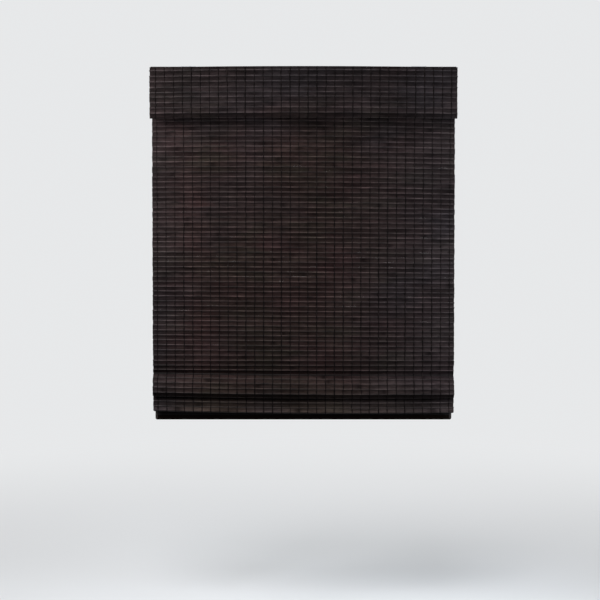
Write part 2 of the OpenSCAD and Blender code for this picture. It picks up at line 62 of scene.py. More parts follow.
Socket = bpy.types.NodeSocket
Span = tuple[float, float]
Triple = tuple[float, float, float]
Colour = tuple[float, float, float]
Tones = tuple[tuple[int, float], ...]
Wood = tuple[bpy.types.Material, bpy.types.Material]

# The range of a share, and the ranges of a noise value that are stretched over a whole pattern.
SHARE: Span = (0.0, 1.0)
SOFT: Span = (0.25, 0.75)
EVEN: Span = (0.30, 0.70)
CRISP: Span = (0.35, 0.65)


class Side(Enum):
    """Side of a woven mat."""

    FRONT = 1
    BACK = -1


class Body(Enum):
    """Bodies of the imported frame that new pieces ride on."""

    RAIL = "rail"
    LIFT = "lift"


# Node helpers


def opaque(colour: Colour) -> tuple[float, float, float, float]:
    """The colour with full cover."""
    return (*colour, 1.0)


@dataclass(frozen=True)
class Grain:
    """One noise pattern on an object's coordinates.

    Its scale is per metre along X, Y and Z, detail is its octaves and rough the share of the fine ones.
    A strip's own value moves the pattern along X by shift.
    """

    scale: Triple
    detail: float = 2.0
    rough: float = 0.5
    shift: float = 0.0


class NodeSheet:
    """Builds one node material step by step."""

    def __init__(self, name: str) -> None:
        """Starts an empty material with a Principled shader.

        Args:
            name: Name of the material.
        """
        self.material = bpy.data.materials.new(name)
        self.material.use_nodes = True
        self.tree = self.material.node_tree
        self.tree.nodes.clear()
        self.output = self.tree.nodes.new("ShaderNodeOutputMaterial")
        self.shader = self.tree.nodes.new("ShaderNodeBsdfPrincipled")
        self.link(self.shader.outputs["BSDF"], self.output.inputs["Surface"])

    def link(self, source: Socket, target: Socket) -> None:
        """Links one socket to another."""
        self.tree.links.new(source, target)

    def put(self, target: Socket, value: Socket | Colour | float) -> None:
        """Sets a socket to a constant, or links another socket to it.

        Args:
            target: Socket to fill.
            value: A socket, a number or a colour.
        """
        if isinstance(value, Socket):
            self.link(value, target)
        else:
            target.default_value = opaque(value) if isinstance(value, tuple) else value

    def coords(self, scale: Triple) -> Socket:
        """Object coordinates in metres, scaled.

        Args:
            scale: Scale along X, Y and Z.

        Returns:
            The scaled vector.
        """
        place = self.tree.nodes.new("ShaderNodeTexCoord")
        mapping = self.tree.nodes.new("ShaderNodeMapping")
        mapping.inputs["Scale"].default_value = scale
        self.link(place.outputs["Object"], mapping.inputs["Vector"])
        return mapping.outputs["Vector"]

    def axis(self, name: str) -> Socket:
        """One object coordinate in metres.

        Args:
            name: Letter of the axis.

        Returns:
            The coordinate.
        """
        split = self.tree.nodes.new("ShaderNodeSeparateXYZ")
        self.link(self.coords((1.0, 1.0, 1.0)), split.inputs["Vector"])
        return split.outputs[name]

    def attribute(self, name: str) -> Socket:
        """Value of a float attribute of the mesh.

        Args:
            name: Name of the attribute.

        Returns:
            The value.
        """
        node = self.tree.nodes.new("ShaderNodeAttribute")
        node.attribute_name = name
        return node.outputs["Fac"]

    def shifted(self, vector: Socket, by: Socket, reach: float) -> Socket:
        """Moves a vector along X by a value times a reach.

        Args:
            vector: Vector to move.
            by: Value that moves it.
            reach: Distance at a value of one.

        Returns:
            The moved vector.
        """
        combine = self.tree.nodes.new("ShaderNodeCombineXYZ")
        self.link(self.math("MULTIPLY", by, reach), combine.inputs["X"])
        add = self.tree.nodes.new("ShaderNodeVectorMath")
        add.operation = "ADD"
        self.link(vector, add.inputs[0])
        self.link(combine.outputs["Vector"], add.inputs[1])
        return add.outputs["Vector"]

    def noise(self, grain: Grain, by: Socket | None = None) -> Socket:
        """Value of a noise pattern, between about 0.2 and 0.8.

        Args:
            grain: The pattern.
            by: Value that moves it, where it differs from strip to strip.

        Returns:
            The noise value.
        """
        vector = self.coords(grain.scale)
        if by is not None:
            vector = self.shifted(vector, by, grain.shift)
        node = self.tree.nodes.new("ShaderNodeTexNoise")
        node.inputs["Scale"].default_value = 1.0
        node.inputs["Detail"].default_value = grain.detail
        node.inputs["Roughness"].default_value = grain.rough
        self.link(vector, node.inputs["Vector"])
        return node.outputs["Fac"]

    def math(self, operation: str, a: Socket | float, b: Socket | float, clamp: bool = False) -> Socket:
        """One arithmetic step.

        Args:
            operation: Name of the Math operation.
            a: First value or socket.
            b: Second value or socket.
            clamp: Whether the result stays between 0 and 1.

        Returns:
            The result.
        """
        node = self.tree.nodes.new("ShaderNodeMath")
        node.operation = operation
        node.use_clamp = clamp
        self.put(node.inputs[0], a)
        self.put(node.inputs[1], b)
        return node.outputs["Value"]

    def spread(self, value: Socket, span: Span, result: Span = SHARE, smooth: bool = False) -> Socket:
        """Maps a range of a value to another range, clamped.

        Args:
            value: Value to map.
            span: Start and end of its range.
            result: Results at the start and the end.
            smooth: Whether it eases in and out of the range.

        Returns:
            The mapped value.
        """
        node = self.tree.nodes.new("ShaderNodeMapRange")
        node.interpolation_type = "SMOOTHSTEP" if smooth else "LINEAR"
        node.clamp = True
        self.link(value, node.inputs["Value"])
        for name, number in zip(("From Min", "From Max", "To Min", "To Max"), (*span, *result)):
            node.inputs[name].default_value = number
        return node.outputs["Result"]

    def mix(
        self, share: Socket | float, a: Socket | Colour, b: Socket | Colour, blend: str = "MIX"
    ) -> Socket:
        """Mixes two colours.

        Args:
            share: Share of the second colour, a number or socket.
            a: First colour or socket.
            b: Second colour or socket.
            blend: Blend type.

        Returns:
            The mixed colour.
        """
        node = self.tree.nodes.new("ShaderNodeMix")
        node.data_type = "RGBA"
        node.blend_type = blend
        self.put(node.inputs[0], share)
        self.put(node.inputs[6], a)
        self.put(node.inputs[7], b)
        return node.outputs[2]

    def grey(self, value: Socket) -> Socket:
        """A grey colour of a value.

        Args:
            value: Brightness of the grey.

        Returns:
            The colour.
        """
        node = self.tree.nodes.new("ShaderNodeCombineColor")
        for channel in ("Red", "Green", "Blue"):
            self.link(value, node.inputs[channel])
        return node.outputs["Color"]

    def bump(self, height: Socket, relief: Span) -> None:
        """Gives the shader a bump from a height value.

        Args:
            height: Height value.
            relief: Strength of the bump and height of the relief in metres.
        """
        node = self.tree.nodes.new("ShaderNodeBump")
        node.inputs["Strength"].default_value, node.inputs["Distance"].default_value = relief
        self.link(height, node.inputs["Height"])
        self.link(node.outputs["Normal"], self.shader.inputs["Normal"])

    def finish(
        self, colour: Socket, roughness: Socket | float, specular: float, metallic: float = 0.0
    ) -> bpy.types.Material:
        """Sets the main shader sockets.

        Args:
            colour: Base colour.
            roughness: Roughness, a number or socket.
            specular: Specular level.
            metallic: Metallic share.

        Returns:
            The finished material.
        """
        self.put(self.shader.inputs["Base Color"], colour)
        self.put(self.shader.inputs["Roughness"], roughness)
        self.shader.inputs["Specular IOR Level"].default_value = specular
        self.shader.inputs["Metallic"].default_value = metallic
        return self.material


# Finishes. A relief is a bump's strength and its height in metres, a gloss a specular level.


@dataclass(frozen=True)
class WovenWoodFinish:
    """Espresso-stained slats or glossier reeds: stain patches, fibre lines, fleck patterns and dark knots,
    with painted glints along the reeds.

    The painted cool light and warm_low spans are places in metres. A level is the brightness at both ends
    of a pattern.
    """

    name: str
    gain: float
    gloss: float
    flecks_and_glints: Span
    umber: Colour = (0.0178, 0.0113, 0.0102)
    russet: Colour = (0.0202, 0.0111, 0.0107)
    olive: Colour = (0.0156, 0.0119, 0.0096)
    plum: Colour = (0.0150, 0.0119, 0.0127)
    patches: Grain = Grain((5.0, 1.0, 8.0), 3.5, 0.62, 0.3)
    casts: Grain = Grain((3.2, 9.0, 4.0), shift=0.2)
    hue_pull: float = 0.07
    russet_span: Span = (0.54, 0.70)
    olive_span: Span = (0.52, 0.39)
    plum_span: Span = (0.50, 0.66)
    plum_share: float = 0.5
    warm_low: Span = (-0.92, -1.00)
    warm_share: float = 0.75
    # Painted cool side light: the stain turns towards plum near both sides of the panel and at the top.
    painted_cool_right: Span = (0.08, 0.38)
    painted_cool_left: Span = (-0.30, -0.44)
    painted_cool_top: Span = (-0.24, -0.08)
    painted_cool_share: float = 0.65
    fibres: Grain = Grain((22.0, 900.0, 900.0), 3.0, 0.6, 61.0)
    fibre_level: Span = (0.74, 1.26)
    blotches: Grain = Grain((8.0, 1.0, 60.0), 4.0, 0.64, 0.9)
    blotch_level: Span = (0.52, 1.50)
    blotch_relief: float = 0.5
    specks: Grain = Grain((70.0, 1.0, 260.0), 2.0, 0.6, 3.0)
    speck_level: Span = (0.76, 1.24)
    clouds: Grain = Grain((4.5, 1.0, 7.0))
    cloud_level: Span = (0.80, 1.20)
    # On the reeds this noise paints bright highlight segments, standing in for glints; on the slats it is a
    # small random tone.
    fleck_and_glint_noise: Grain = Grain((16.0, 1.0, 1.0), shift=47.0)
    fleck_and_glint_span: Span = (0.35, 0.70)
    tone_span: Span = (-2.0, 5.0)
    tone_level: Span = (0.02, 2.82)
    # Painted shadow under each reed: a slat is darker at its top, under the reed above it, and lighter
    # towards its bottom.
    painted_reed_shadow: Span = (0.66, 1.26)
    knot_level: Span = (1.0, 0.35)
    relief: Span = (0.35, 0.00025)
    roughness: Span = (0.40, 0.56)

    def stain(self, sheet: NodeSheet) -> Socket:
        """Stain colour that drifts between umber, russet, olive and plum in patches, with painted cool side
        light at the top and both sides.

        Args:
            sheet: Node sheet to build in.

        Returns:
            The colour.
        """
        hue = sheet.attribute("slat_hue")
        drift = sheet.noise(self.patches, hue)
        drift = sheet.math("ADD", drift, sheet.math("MULTIPLY", hue, self.hue_pull))
        cast = sheet.noise(self.casts, hue)
        warm = sheet.spread(sheet.axis("Z"), self.warm_low, (0.0, self.warm_share))
        green = sheet.math("MAXIMUM", sheet.spread(drift, self.olive_span), warm)
        plum_and_cool_light = sheet.spread(cast, self.plum_span, (0.0, self.plum_share))
        plum_and_cool_light = sheet.math("ADD", plum_and_cool_light, self.painted_cool_light(sheet), True)
        colour = sheet.mix(sheet.spread(drift, self.russet_span), self.umber, self.russet)
        return sheet.mix(plum_and_cool_light, sheet.mix(green, colour, self.olive), self.plum)

    def painted_cool_light(self, sheet: NodeSheet) -> Socket:
        """Share of painted cool side light, which turns the stain towards plum on the valance and both
        sides of the panel.

        Args:
            sheet: Node sheet to build in.

        Returns:
            The share.
        """
        across, height = sheet.axis("X"), sheet.axis("Z")
        cool_range = (0.0, self.painted_cool_share)
        right = sheet.spread(across, self.painted_cool_right, cool_range)
        left = sheet.spread(across, self.painted_cool_left, cool_range)
        top = sheet.spread(height, self.painted_cool_top, cool_range)
        return sheet.math("MAXIMUM", top, sheet.math("MAXIMUM", left, right))

    def material(self) -> bpy.types.Material:
        """Builds the material.

        Returns:
            The woven wood material.
        """
        sheet = NodeSheet(self.name)
        tone = sheet.attribute("slat_tone")
        fibre = sheet.noise(self.fibres, tone)
        blotch = sheet.noise(self.blotches, tone)
        fleck_and_glint_level = (self.gain * self.flecks_and_glints[0], self.gain * self.flecks_and_glints[1])
        level = sheet.spread(tone, self.tone_span, self.tone_level)
        for value, span, part_level in (
            (fibre, SOFT, self.fibre_level),
            (blotch, EVEN, self.blotch_level),
            (sheet.noise(self.specks, tone), EVEN, self.speck_level),
            (sheet.noise(self.clouds), EVEN, self.cloud_level),
            (sheet.attribute("slat_drop"), SHARE, self.painted_reed_shadow),
            (sheet.attribute("slat_knot"), SHARE, self.knot_level),
            (sheet.noise(self.fleck_and_glint_noise, tone), self.fleck_and_glint_span, fleck_and_glint_level),
        ):
            level = sheet.math("MULTIPLY", level, sheet.spread(value, span, part_level))
        colour = sheet.mix(1.0, self.stain(sheet), sheet.grey(level), "MULTIPLY")
        height = sheet.math("ADD", fibre, sheet.math("MULTIPLY", blotch, self.blotch_relief))
        sheet.bump(height, self.relief)
        return sheet.finish(colour, sheet.spread(fibre, SOFT, self.roughness), self.gloss)


@dataclass(frozen=True)
class ThreadFinish:
    """Dark twisted cotton thread or braided cord, rubbed paler in places."""

    name: str
    dark: Colour
    light: Colour
    worn: Colour
    strand_scale: Triple
    fuzz: Grain = Grain((900.0, 900.0, 900.0), 2.0, 0.6)
    fuzz_relief: float = 0.4
    rubs: Grain = Grain((60.0, 1.0, 75.0), 2.0, 0.6)
    worn_span: Span = (0.46, 0.64)
    worn_share: float = 0.9
    relief: Span = (0.5, 0.0003)
    roughness: Span = (0.8, 0.95)
    gloss: float = 0.03

    def material(self) -> bpy.types.Material:
        """Builds the material.

        Returns:
            The thread material.
        """
        sheet = NodeSheet(self.name)
        strand = sheet.noise(Grain(self.strand_scale, rough=0.6))
        fuzz = sheet.noise(self.fuzz)
        colour = sheet.mix(sheet.spread(strand, CRISP), self.dark, self.light)
        worn = sheet.spread(sheet.noise(self.rubs), self.worn_span, (0.0, self.worn_share))
        colour = sheet.mix(worn, colour, self.worn)
        sheet.bump(sheet.math("ADD", strand, sheet.math("MULTIPLY", fuzz, self.fuzz_relief)), self.relief)
        return sheet.finish(colour, sheet.spread(fuzz, EVEN, self.roughness), self.gloss)


@dataclass(frozen=True)
class MouldedFinish:
    """Satin moulded plastic with a fine spark texture."""

    name: str
    dark: Colour
    light: Colour
    roughness: float
    texture: Grain = Grain((1500.0, 1500.0, 1500.0), 2.0, 0.6)
    clouds: Grain = Grain((18.0, 18.0, 18.0), 3.0)
    tone_span: Span = EVEN
    rough_steps: Span = (-0.06, 0.08)
    relief: Span = (0.2, 0.00012)
    gloss: float = 0.3

    def material(self) -> bpy.types.Material:
        """Builds the material.

        Returns:
            The plastic, coat or tape material.
        """
        sheet = NodeSheet(self.name)
        texture = sheet.noise(self.texture)
        share = sheet.spread(sheet.noise(self.clouds), self.tone_span)
        colour = sheet.mix(share, self.dark, self.light)
        smoother, rougher = self.rough_steps
        rough = sheet.spread(texture, EVEN, (self.roughness + smoother, self.roughness + rougher))
        sheet.bump(texture, self.relief)
        return sheet.finish(colour, rough, self.gloss)


@dataclass(frozen=True)
class CoatedFinish(MouldedFinish):
    """Powder coat over metal: faint orange peel and a slightly mottled tone."""

    texture: Grain = Grain((420.0, 420.0, 420.0))
    clouds: Grain = Grain((7.0, 25.0, 25.0), 3.0)
    rough_steps: Span = (-0.05, 0.07)
    relief: Span = (0.22, 0.0002)
    gloss: float = 0.2


@dataclass(frozen=True)
class TapeFinish(MouldedFinish):
    """Hook-and-loop tape: a fuzzy pile of tiny loops."""

    texture: Grain = Grain((700.0, 700.0, 700.0), 3.0, 0.7)
    clouds: Grain = Grain((700.0, 700.0, 700.0), 3.0, 0.7)
    tone_span: Span = CRISP
    rough_steps: Span = (0.0, 0.15)
    relief: Span = (0.7, 0.0008)
    gloss: float = 0.08


@dataclass(frozen=True)
class MetalFinish:
    """Plated or bright metal with drawing lines along one axis."""

    name: str
    dark: Colour
    light: Colour
    line_scale: Triple
    roughness: float
    clouds: Grain = Grain((40.0, 40.0, 40.0), 3.0)
    tone_span: Span = (0.7, 1.3)
    rough_steps: Span = (-0.08, 0.1)
    relief: Span = (0.15, 0.0001)
    gloss: float = 0.5

    def material(self) -> bpy.types.Material:
        """Builds the material.

        Returns:
            The metal material.
        """
        sheet = NodeSheet(self.name)
        line = sheet.noise(Grain(self.line_scale, detail=3.0, rough=0.6))
        cloud = sheet.noise(self.clouds)
        share = sheet.spread(sheet.math("ADD", line, cloud), self.tone_span)
        smoother, rougher = self.rough_steps
        rough = sheet.spread(cloud, EVEN, (self.roughness + smoother, self.roughness + rougher))
        sheet.bump(line, self.relief)
        return sheet.finish(sheet.mix(share, self.dark, self.light), rough, self.gloss, metallic=1.0)


@dataclass(frozen=True)
class BarWoodFinish:
    """Solid stained hardwood of the bottom bar, with long grain and pores; its near-black colour is partly
    painted shade for the shadow under the folds.
    """

    name: str = "bar_stained_wood"
    dark: Colour = (0.0026, 0.0017, 0.0010)
    light: Colour = (0.0066, 0.0043, 0.0027)
    grain: Grain = Grain((7.0, 260.0, 260.0), 4.0, 0.6)
    pores: Grain = Grain((60.0, 1400.0, 1400.0), 2.0, 0.6)
    relief: Span = (0.3, 0.0002)
    roughness: Span = (0.5, 0.66)
    gloss: float = 0.02

    def material(self) -> bpy.types.Material:
        """Builds the material.

        Returns:
            The bar wood material.
        """
        sheet = NodeSheet(self.name)
        grain, pores = sheet.noise(self.grain), sheet.noise(self.pores)
        colour = sheet.mix(sheet.spread(grain, EVEN), self.dark, self.light)
        sheet.bump(sheet.math("ADD", grain, pores), self.relief)
        return sheet.finish(colour, sheet.spread(pores, EVEN, self.roughness), self.gloss)


SLAT_WOOD = WovenWoodFinish("espresso_slat", 1.0, 0.012, (0.84, 1.20))
# The reeds' higher gain and wide range paint the highlight along their tops, partly the real paler reed
# skin.
REED_WOOD = WovenWoodFinish("espresso_reed", 1.62, 0.13, (0.58, 1.72))
WARP_COTTON = ThreadFinish(
    "warp_cotton", (0.0022, 0.0018, 0.0018), (0.0060, 0.0045, 0.0044), (0.0160, 0.0112, 0.0108),
    (500.0, 500.0, 900.0),
)
CORD_BRAID = ThreadFinish(
    "cord_braid", (0.010, 0.008, 0.007), (0.030, 0.024, 0.020), (0.026, 0.021, 0.018),
    (1200.0, 1200.0, 700.0),
)
HARDWARE_FINISHES = (
    (CoatedFinish("rail_brown_coat", (0.020, 0.014, 0.012), (0.026, 0.019, 0.017), 0.42), ("headrail",)),
    (
        MouldedFinish("moulded_brown", (0.012, 0.009, 0.008), (0.018, 0.014, 0.012), 0.45),
        ("end_cap_left", "end_cap_right", "bar_cap_left", "bar_cap_right"),
    ),
    (
        MetalFinish("zinc_plate", (0.44, 0.45, 0.47), (0.66, 0.67, 0.69), (30.0, 500.0, 500.0), 0.34),
        ("bracket_left", "bracket_right"),
    ),
    (
        MouldedFinish("moulded_grey", (0.42, 0.42, 0.41), (0.52, 0.52, 0.50), 0.5),
        ("motor_base", "motor_cover", "cord_guide_left", "cord_guide_right"),
    ),
    (
        MouldedFinish("moulded_white", (0.66, 0.66, 0.63), (0.74, 0.74, 0.71), 0.38),
        (
            "cord_spool_left", "storage_drum", "output_drum", "cord_spool_right",
            "guide_roller_left", "guide_roller_right",
        ),
    ),
    (
        MetalFinish("bright_steel", (0.34, 0.35, 0.37), (0.56, 0.57, 0.60), (400.0, 400.0, 60.0), 0.28),
        ("motor_screws", "drum_axles", "motor_spring", "roller_pins"),
    ),
    (
        MouldedFinish("moulded_ring", (0.022, 0.016, 0.013), (0.036, 0.027, 0.022), 0.35),
        ("cord_rings_1", "cord_rings_2", "cord_rings_3", "cord_rings_4", "stack_rings", "cord_anchors"),
    ),
    (
        TapeFinish("hook_tape_pile", (0.006, 0.006, 0.006), (0.022, 0.021, 0.021), 0.8),
        ("valance_tape", "panel_tape", "bar_tape"),
    ),
    (BarWoodFinish(), ("bottom_bar",)),
)


# Woven mats


@dataclass(frozen=True)
class WeaveSizes:
    """Sizes of the weave, in millimetres and degrees."""

    slat_w: float = 11.2
    slat_t: float = 1.6
    slat_edge: float = 0.35
    slat_hollow: float = 0.42
    reed_d: float = 3.2
    reed_gap: float = 3.7
    reed_proud: float = 0.35
    reed_lap: float = 0.15
    reed_sides: int = 10
    warp_pitch: float = 26.4
    warp_margin: float = 12.0
    warp_r: float = 1.3
    length_cuts: int = 59
    width_cuts: int = 3
    sharp_angle: float = 40.0

    @property
    def pitch(self) -> float:
        """Height of one slat and one reed."""
        return self.slat_w + self.reed_gap


@dataclass(frozen=True)
class RowHang:
    """How the rows of a mat hang out of level: an arch across its width and a slope, in millimetres.

    Both go from their first value at the top to their second at the bottom. They are level at a seam, so
    that the mats on both sides of it stay joined.
    """

    width: float
    top: float
    bottom: float
    arch: Span
    slope: Span
    level_share: float
    seam: float | None = None
    ease: float = 48.0

    def drop(self, x: float, z: float) -> float:
        """How far the weave sits below its level row at a place on the mat.

        Args:
            x: Place across the mat.
            z: Height of the level row.

        Returns:
            The drop.
        """
        down = min(1.0, max(0.0, (self.top - z) / (self.top - self.bottom)))
        side = 2 * x / self.width
        arch = self.arch[0] + (self.arch[1] - self.arch[0]) * down
        slope = self.slope[0] + (self.slope[1] - self.slope[0]) * down
        share = 1.0 if self.seam is None else min(1.0, abs(z - self.seam) / self.ease)
        eased = share * share * (3 - 2 * share)
        return (arch * (side * side - self.level_share) + slope / 2 * side) * eased


@dataclass
class MatPath:
    """Side outline of a mat: the lean and height of each slat and where the first one starts."""

    lean: list[float]
    start: Span
    sizes: WeaveSizes
    hang: RowHang
    heights: list[float] = field(default_factory=list)
    points: list[Vector] = field(default_factory=list)

    def __post_init__(self) -> None:
        """Walks down the rows and keeps the upper end of each slat."""
        if not self.heights:
            self.heights = [self.sizes.slat_w] * len(self.lean)
        at = Vector(self.start)
        for row in range(len(self.lean)):
            self.points.append(at.copy())
            at = at + self.heights[row] * self.along(self.lean[row])
            at = at + self.sizes.reed_gap * self.along(self.reed_lean(row))

    @staticmethod
    def along(lean: float) -> Vector:
        """Direction of a row in depth and height."""
        return Vector((-math.sin(math.radians(lean)), -math.cos(math.radians(lean))))

    @staticmethod
    def out(lean: float) -> Vector:
        """Direction out of the visible side of a row."""
        return Vector((-math.cos(math.radians(lean)), math.sin(math.radians(lean))))

    def reed_lean(self, row: int) -> float:
        """Lean of the reed after a row, halfway to the next slat's."""
        following = min(row + 1, len(self.lean) - 1)
        return (self.lean[row] + self.lean[following]) / 2

    def slat_middle(self, row: int) -> Vector:
        """Middle of a slat."""
        return self.points[row] + self.heights[row] / 2 * self.along(self.lean[row])

    def reed_middle(self, row: int) -> Vector:
        """Middle of the reed after a row."""
        end = self.points[row] + self.heights[row] * self.along(self.lean[row])
        return end + self.sizes.reed_gap / 2 * self.along(self.reed_lean(row))

    def hung(self, x: float, place: Vector, sway: float = 0.0) -> Vector:
        """Point of the mat in metres, after its row has dropped.

        Args:
            x: Place across the mat.
            place: Depth and height on the level mat.
            sway: How far it strays sideways.

        Returns:
            The point.
        """
        return Vector((x + sway, place.x, place.y - self.hang.drop(x, place.y))) * MM


@dataclass(frozen=True)
class StripHabit:
    """How uneven slats and reeds are, in millimetres, degrees and shares."""

    first_knot: Span = (20.0, 420.0)
    knot_step: Span = (240.0, 460.0)
    knot_reach: float = 7.0
    knot_shade: Span = (0.45, 0.55)
    knot_rise: float = 0.12
    knot_swell: float = 0.10
    growth: Span = (-0.9, 0.5)
    growth_power: int = 8
    roll: float = 1.3
    seeds: Span = (0.0, 90.0)
    wave_pace: float = 0.006
    wave_twist: float = 2.6
    ripple_pace: float = 0.021
    ripple_twist: float = 1.2
    ripple_layer: float = 7.0
    slat_wave: float = 0.10
    slat_ripple: float = 0.12
    reed_wave: float = 0.12
    reed_ripple: float = 0.10
    reed_swell: float = 0.05
    reed_swell_limit: float = 1.08


class Strip:
    """Random character of one slat or reed."""

    def __init__(self, dice: random.Random, width: float, habit: StripHabit) -> None:
        """Draws the character.

        Args:
            dice: Seeded random source.
            width: Width of the mat in millimetres.
            habit: How uneven the strips are.
        """
        self.habit = habit
        self.width = width
        self.knots = []
        at = -width / 2 + dice.uniform(*habit.first_knot)
        while at < width / 2:
            self.knots.append(at)
            at += dice.uniform(*habit.knot_step)
        self.tone = dice.random()
        self.hue = dice.random()
        self.seed = dice.uniform(*habit.seeds)
        self.grow_left = dice.uniform(*habit.growth)
        self.grow_right = dice.uniform(*habit.growth)
        self.roll = dice.gauss(0.0, habit.roll)

    def knot(self, x: float) -> float:
        """Strength of the knots at a place along the strip."""
        return sum(math.exp(-(((x - at) / self.habit.knot_reach) ** 2)) for at in self.knots)

    def grown(self, x: float) -> float:
        """Place along the strip after its ends have been cut unevenly."""
        end, power = 2 * x / self.width, self.habit.growth_power
        return x + self.grow_right * max(0.0, end) ** power - self.grow_left * max(0.0, -end) ** power

    def warped(self, x: float, y: float, z: float, knot: float, is_reed: bool) -> Span:
        """Depth and height of a point after the strip has waved, twisted and swollen.

        Args:
            x: Place along the strip.
            y: Depth from its middle.
            z: Height from its middle.
            knot: Strength of the knots there.
            is_reed: Whether it is a reed.

        Returns:
            The new depth and height.
        """
        h = self.habit
        wave = noise.noise(Vector((x * h.wave_pace, self.seed, 0.0)))
        ripple = noise.noise(Vector((x * h.ripple_pace, self.seed, h.ripple_layer)))
        if is_reed:
            swell = 1.0 + h.reed_swell * ripple + h.knot_swell * min(1.0, knot)
            y = y * swell + h.reed_wave * wave
            return y, z * min(swell, h.reed_swell_limit) + h.reed_ripple * ripple
        twist = math.radians(self.roll + h.wave_twist * wave + h.ripple_twist * ripple)
        y = y + z * math.sin(twist) + h.slat_wave * wave - h.knot_rise * knot
        return y, z + h.slat_ripple * ripple


def kept_mesh(bm: bmesh.types.BMesh, name: str) -> bpy.types.Mesh:
    """Turns a bmesh into a mesh and frees it.

    Args:
        bm: The bmesh.
        name: Name of the mesh.

    Returns:
        The mesh.
    """
    mesh = bpy.data.meshes.new(name)
    bm.to_mesh(mesh)
    bm.free()
    return mesh


def add_object(name: str, mesh: bpy.types.Mesh) -> bpy.types.Object:
    """Links a new object at the origin.

    Args:
        name: Name of the piece.
        mesh: Its mesh.

    Returns:
        The object.
    """
    piece = bpy.data.objects.new(name, mesh)
    bpy.context.scene.collection.objects.link(piece)
    LOG.info("%s: %d faces", name, len(mesh.polygons))
    return piece


